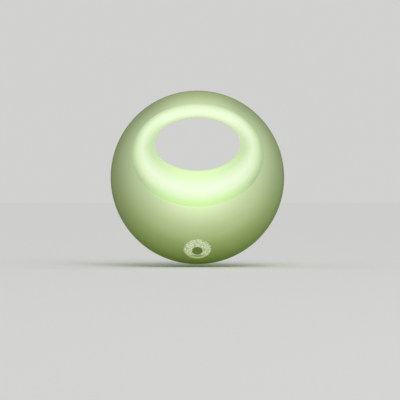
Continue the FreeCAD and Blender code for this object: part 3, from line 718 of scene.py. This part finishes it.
def textured_window():
    """Clear disc: painted glints on its border, plain centre over the dark cell, and a painted highlight in a
    pale arc along its lower rim.
    """
    material, tree, shader = node_tree("textured_sensor_window")
    local, across, up = window_place(tree)
    rim_scale = mm / seat_radius
    cell_rise, arc_rise = -0.75, 0.4
    cell_radius, cell_softness = 2.1, 0.45
    cells = add(tree, "ShaderNodeTexVoronoi")
    cells.inputs["Scale"].default_value = 1500
    tree.links.new(local, cells.inputs["Vector"])
    # Painted glints: each cell of the textured border lit brighter or dimmer
    painted_glints = ramp(tree, cells.outputs["Distance"], [
        (0.0, srgb(240, 246, 224)),
        (0.35, srgb(212, 222, 188)),
        (0.75, srgb(172, 188, 142)),
    ])
    to_rim = math_node(tree, "MULTIPLY", length_node(tree, across, up), rim_scale)
    rim = ramp(tree, to_rim, [(0.0, (1, 1, 1)), (0.9, (1, 1, 1)), (1.0, srgb(226, 234, 206))], "LINEAR")
    border = mixed(tree, 1.0, painted_glints, rim, "MULTIPLY")
    plain_low = fading(tree, up, -0.9, -2.6)
    to_arc = length_node(tree, across, math_node(tree, "SUBTRACT", up, arc_rise))
    # Toward the lower rim the disc takes a pale arc: a painted highlight
    arc = ramp(tree, math_node(tree, "MULTIPLY", to_arc, rim_scale), [
        (0.0, srgb(120, 140, 76)),
        (0.76, srgb(126, 146, 82)),
        (0.85, srgb(182, 199, 146)),
        (0.97, srgb(178, 195, 140)),
        (1.0, srgb(160, 180, 120)),
    ], "LINEAR")
    disc = mixed(tree, plain_low, border, arc)
    to_cell = length_node(tree, across, math_node(tree, "SUBTRACT", up, cell_rise))
    past_cell = fading(tree, to_cell, 1 / cell_softness, -cell_radius / cell_softness)
    look = mixed(tree, past_cell, srgb(96, 118, 44), disc)
    tree.links.new(look, shader.inputs["Base Color"])
    relief = add(tree, "ShaderNodeBump")
    relief.inputs["Strength"].default_value = 0.6
    relief.inputs["Distance"].default_value = 0.2 * mm
    height = math_node(tree, "MULTIPLY", cells.outputs["Distance"], past_cell)
    tree.links.new(height, relief.inputs["Height"])
    tree.links.new(relief.outputs[0], shader.inputs["Normal"])
    shader.inputs["Roughness"].default_value = 0.2
    shader.inputs["Specular IOR Level"].default_value = 0.35
    # The window also glows faintly with this look, painted glints and highlight included
    lit_up(tree, shader, look, 0.3)
    return material


def bright_metal(name, colour, roughness):
    """Plated metal with a fine grain and a varying shine."""
    material, tree, shader = node_tree(name)
    tone = with_skin(tree, shader, 2600.0, roughness, 0.2, 0.06, 0.01 * mm)
    tree.links.new(toned(tree, tone, colour), shader.inputs["Base Color"])
    shader.inputs["Metallic"].default_value = 1.0
    return material


def banded_body(name, colour, bands, band_scale):
    """Lacquered resistor or diode body with generic colour rings along X."""
    material, tree, shader = node_tree(name)
    place = add(tree, "ShaderNodeTexCoord")
    wave = add(tree, "ShaderNodeTexWave", wave_type="BANDS", bands_direction="X")
    wave.inputs["Scale"].default_value = band_scale
    tree.links.new(place.outputs["Object"], wave.inputs["Vector"])
    rings = ramp(tree, wave.outputs["Fac"], [
        (0.0, bands),
        (0.18, bands),
        (0.2, colour),
        (1.0, colour),
    ], "LINEAR")
    tone = with_skin(tree, shader, 2200.0, 0.3, 0.15, 0.05)
    tree.links.new(toned(tree, tone, rings), shader.inputs["Base Color"])
    return material


def circuit_board(name, mask_colour, track_colour, density):
    """Board with a solder mask that shows its tracks faintly."""
    material, tree, shader = node_tree(name)
    place = add(tree, "ShaderNodeTexCoord")
    bricks = add(tree, "ShaderNodeTexBrick")
    bricks.inputs["Scale"].default_value = density
    bricks.inputs["Mortar Size"].default_value = 0.03
    bricks.inputs["Color1"].default_value = (*mask_colour, 1)
    bricks.inputs["Color2"].default_value = (*track_colour, 1)
    bricks.inputs["Mortar"].default_value = (*mask_colour, 1)
    turn = add(tree, "ShaderNodeMapping")
    turn.inputs["Rotation"].default_value = (math.pi / 2, 0, 0)
    tree.links.new(place.outputs["Object"], turn.inputs["Vector"])
    tree.links.new(turn.outputs[0], bricks.inputs["Vector"])
    tone = with_skin(tree, shader, 900.0, 0.28, 0.12, 0.05)
    tree.links.new(toned(tree, tone, bricks.outputs["Color"]), shader.inputs["Base Color"])
    return material


finishes = {
    "shell": lit_shell(),
    "glow": glowing_ring(),
    "diffuser": opal_sleeve(),
    "window": textured_window(),
    "white_board": circuit_board("white_led_board", srgb(232, 232, 226), srgb(222, 222, 216), 160),
    "led": plain_plastic("led_moulding", srgb(244, 240, 200), 0.3),
    "lead_insulation": plain_plastic("lead_insulation", srgb(214, 214, 208), 0.5),
    "board": circuit_board("green_main_board", srgb(40, 110, 60), srgb(52, 128, 72), 120),
    "film_capacitor": plain_plastic("film_capacitor_box", srgb(220, 178, 60), 0.35, 900.0),
    "can_sleeve": plain_plastic("capacitor_sleeve", srgb(36, 40, 58), 0.3, 700.0),
    "black_moulding": plain_plastic("black_moulding", srgb(34, 34, 36), 0.55, 1400.0, 0.1),
    "resistor_body": banded_body("resistor_lacquer", srgb(204, 184, 150), srgb(120, 70, 40), 180),
    "diode_glass": banded_body("diode_body", srgb(190, 110, 60), srgb(30, 30, 30), 120),
    "rubber_sleeve": plain_plastic("black_rubber", srgb(44, 44, 44), 0.75, 1200.0, 0.12),
    "photo_cell": plain_plastic("photo_cell", srgb(120, 118, 60), 0.3, 900.0),
    "nose": plain_plastic("hard_white_nose", srgb(226, 228, 220), 0.42, 1500.0),
    "pin_metal": bright_metal("nickel_pins", srgb(214, 210, 200), 0.22),
    "pin_sleeve": plain_plastic("black_pin_sleeve", srgb(38, 38, 40), 0.4),
    "screw_steel": bright_metal("zinc_screws", srgb(186, 186, 182), 0.34),
}


def front_shell():
    """Dome with its seam lip and the window's seat."""
    shell = rolled_ring("front_shell_moulding", front_columns, front_shell_profile)
    middle, outward = window_axis()
    below_wall, above_dome = -6 * mm, 2 * mm
    tool = spun("window_cut", [
        (seat_foot_radius, below_wall),
        (seat_foot_radius, -window_step_depth),
        (seat_radius, -window_step_depth),
        (seat_radius, -seat_chamfer_depth),
        (seat_radius + seat_chamfer, 0),
        (seat_radius + 0.5 * mm, above_dome),
    ], middle, outward, window_steps)
    cut_with(shell, tool)
    dressed(shell, ["front_shell"], "shell")


def nose_cutter():
    """Eight-sided bar across the flat back, larger than the plug nose by its gap."""
    half_width = nose_half_width + nose_gap
    half_height = nose_half_height + nose_gap
    deselect()
    bpy.ops.mesh.primitive_cylinder_add(
        vertices=8, radius=1, depth=12 * mm, location=(0, back_y, 0), rotation=(math.pi / 2, 0, 0)
    )
    tool = bpy.context.object
    bpy.ops.object.transform_apply(location=True, rotation=True, scale=True)
    for vertex in tool.data.vertices:
        wide = abs(vertex.co.x) > abs(vertex.co.z)
        side = math.copysign(1, vertex.co.x)
        up = math.copysign(1, vertex.co.z)
        vertex.co.x = side * (half_width if wide else half_width - nose_corner)
        vertex.co.z = up * (half_height - nose_corner if wide else half_height)
    return tool


def rear_shell():
    """Bowl with its mouth, the nose opening and two screw wells."""
    shell = rolled_ring("rear_shell_moulding", rear_columns, rear_shell_profile)
    cut_with(shell, nose_cutter())
    below_floor, above_back = -14 * mm, 9 * mm
    outline = [
        (well_radius, below_floor),
        (well_radius, 0),
        (well_mouth_radius, well_chamfer),
        (well_mouth_radius, above_back),
    ]
    for side in (-1, 1):
        place = Vector((side * well_side, back_y - well_mouth_depth, ball_z - well_drop))
        cut_with(shell, spun("well", outline, place, Vector((0, 1, 0)), well_steps))
    dressed(shell, ["rear_shell"], "shell")


def sensor_window():
    """Crowned disc with a rounded edge and a dimple over the cell, on its narrower foot."""
    middle, outward = window_axis()
    crown_edge = window_radius - window_edge_round
    edge_steps, crown_steps, dimple_steps = 4, 8, 5
    outline = [
        (window_foot_radius, -window_foot_depth),
        (window_foot_radius, -window_step_depth),
        (window_radius, -window_step_depth),
        (window_radius, -window_edge_depth),
    ]
    for step in range(1, edge_steps + 1):
        turn = math.pi / 2 * step / edge_steps
        radius = crown_edge + window_edge_round * math.cos(turn)
        outline.append((radius, window_edge_round * math.sin(turn) - window_edge_depth))
    for step in range(1, crown_steps + 1):
        radius = crown_edge - (crown_edge - dimple_radius) * step / crown_steps
        outline.append((radius, -window_crown_depth - radius**2 / (2 * window_crown_radius)))
    for step in range(1, dimple_steps + 1):
        radius = dimple_radius * (1 - step / (dimple_steps + 0.5))
        bowl = dimple_depth * (1 - (radius / dimple_radius) ** 2)
        outline.append((radius, -window_crown_depth - dimple_rim_depth - bowl))
    disc = spun("sensor_window_disc", outline, middle, outward, window_steps)
    dressed(disc, ["sensor_window"], "window")


def smooth_copy(node, name):
    """Copy of a CAD piece whose shape is right, with its doubled corners merged."""
    source = frame["nodes"][node]
    piece = bpy.data.objects.new(name, source.data.copy())
    bpy.context.scene.collection.objects.link(piece)
    only(piece)
    bpy.ops.object.mode_set(mode="EDIT")
    bpy.ops.mesh.select_all(action="SELECT")
    bpy.ops.mesh.remove_doubles(threshold=1e-6)
    bpy.ops.object.mode_set(mode="OBJECT")
    return piece


def plug_nose():
    """Nose moulding with its outer edges rounded from the face down to the shell."""
    near_outline, near_face, long_edge = 0.03 * mm, 0.01 * mm, 10 * mm
    nose = smooth_copy("plug_nose", "plug_nose_moulding")
    bpy.ops.object.mode_set(mode="EDIT")
    bpy.ops.mesh.select_all(action="SELECT")
    bpy.ops.mesh.dissolve_limited(angle_limit=math.radians(1))
    bpy.ops.mesh.select_all(action="DESELECT")
    bpy.ops.object.mode_set(mode="OBJECT")

    def on_outline(vertex):
        """Whether a corner lies on the eight-sided outline that stands out of the ball."""
        wide, tall = abs(vertex.co.x), abs(vertex.co.z)
        slanted = (wide + tall - nose_half_width - nose_half_height + nose_corner) / math.sqrt(2)
        return abs(max(wide - nose_half_width, tall - nose_half_height, slanted)) < near_outline

    vertices = nose.data.vertices
    corners = {vertex.index for vertex in vertices if on_outline(vertex)}
    for edge in nose.data.edges:
        first, second = (vertices[index].co for index in edge.vertices)
        lengthwise = abs(first.y - second.y) > long_edge
        on_face = abs(first.y) < near_face and abs(second.y) < near_face
        edge.select = corners.issuperset(edge.vertices) and (lengthwise or on_face)
    bpy.ops.object.mode_set(mode="EDIT")
    bpy.ops.mesh.bevel(offset=nose_edge_round, segments=4, affect="EDGES")
    bpy.ops.object.mode_set(mode="OBJECT")
    dressed(nose, ["plug_nose"], "nose", copied_angle)


front_shell()
rear_shell()
dressed(rolled_ring("glowing_ring", front_columns, ring_profile), ["ring_diffuser"], "glow")
dressed(rolled_ring("tunnel_sleeve_wall", rear_columns, sleeve_profile), ["tunnel_sleeve"], "diffuser")
sensor_window()
plug_nose()
for node in ("left_pin", "right_pin", "left_pin_sleeve", "right_pin_sleeve", "shell_screws"):
    slot = next(part["material_slot"] for part in frame["record"]["subparts"] if part["node"] == node)
    dressed(smooth_copy(node, node + "_turned"), [node], slot, copied_angle)

for part in frame["record"]["subparts"]:
    node = frame["nodes"][part["node"]]
    node.data.materials.clear()
    node.data.materials.append(finishes[part["material_slot"]])


def area_lamp(name, place, aim, size, power):
    """Soft lamp that looks at a point."""
    data = bpy.data.lights.new(name, "AREA")
    data.size = size
    data.energy = power
    lamp = bpy.data.objects.new(name, data)
    bpy.context.scene.collection.objects.link(lamp)
    lamp.location = place
    lamp.rotation_euler = (Vector(aim) - Vector(place)).to_track_quat("-Z", "Y").to_euler()


def studio():
    """Pale floor under the lamp, pale world and soft lamps at a plain level."""
    deselect()
    bpy.ops.mesh.primitive_plane_add(size=40, location=(0, 0, cad_low.z - 1 * mm))
    floor = bpy.context.object
    floor.name = "studio_floor"
    material, tree, shader = node_tree("pale_floor")
    shader.inputs["Base Color"].default_value = (0.86, 0.86, 0.85, 1)
    shader.inputs["Roughness"].default_value = 0.9
    shader.inputs["Specular IOR Level"].default_value = 0.0
    floor.data.materials.append(material)
    world = bpy.data.worlds.new("pale_world")
    bpy.context.scene.world = world
    world.use_nodes = True
    tree = world.node_tree
    lit = tree.nodes["Background"]
    lit.inputs["Color"].default_value = (1, 1, 1, 1)
    lit.inputs["Strength"].default_value = 0.5
    seen = add(tree, "ShaderNodeBackground")
    seen.inputs["Color"].default_value = (0.64, 0.64, 0.63, 1)
    seen.inputs["Strength"].default_value = 1.0
    rays = add(tree, "ShaderNodeLightPath")
    either = math_node(tree, "MAXIMUM", rays.outputs["Is Camera Ray"], rays.outputs["Is Transmission Ray"])
    either = math_node(tree, "MAXIMUM", either, rays.outputs["Is Glossy Ray"])
    choice = add(tree, "ShaderNodeMixShader")
    tree.links.new(either, choice.inputs[0])
    tree.links.new(lit.outputs[0], choice.inputs[1])
    tree.links.new(seen.outputs[0], choice.inputs[2])
    tree.links.new(choice.outputs[0], tree.nodes["World Output"].inputs[0])
    sun = bpy.data.lights.new("soft_sun", "SUN")
    sun.energy = 0.9
    sun.angle = math.radians(50)
    key = bpy.data.objects.new("soft_sun", sun)
    bpy.context.scene.collection.objects.link(key)
    key.rotation_euler = Vector((-0.2, 0.75, -0.9)).to_track_quat("-Z", "Y").to_euler()
    area_lamp("fill", (0.5, -0.7, 0.2), (0, -0.03, 0.02), 0.6, 0.6)


def camera():
    """Level camera straight in front, framed as in the photo."""
    data = bpy.data.cameras.new("front_camera")
    data.sensor_width = sensor_width
    data.lens = sensor_width * camera_distance / (photo_pixels * pixel)
    data.clip_start = 0.01
    data.clip_end = 20
    eye = bpy.data.objects.new("front_camera", data)
    bpy.context.scene.collection.objects.link(eye)
    middle = photo_pixels / 2
    x = (middle - ball_pixel_x) * pixel
    z = ball_z - (middle - ball_pixel_y) * pixel
    eye.location = (x, parting_y - camera_distance, z)
    eye.rotation_euler = (math.pi / 2, 0, 0)
    bpy.context.scene.camera = eye


studio()
camera()
bpy.context.scene.view_settings.view_transform = "Standard"
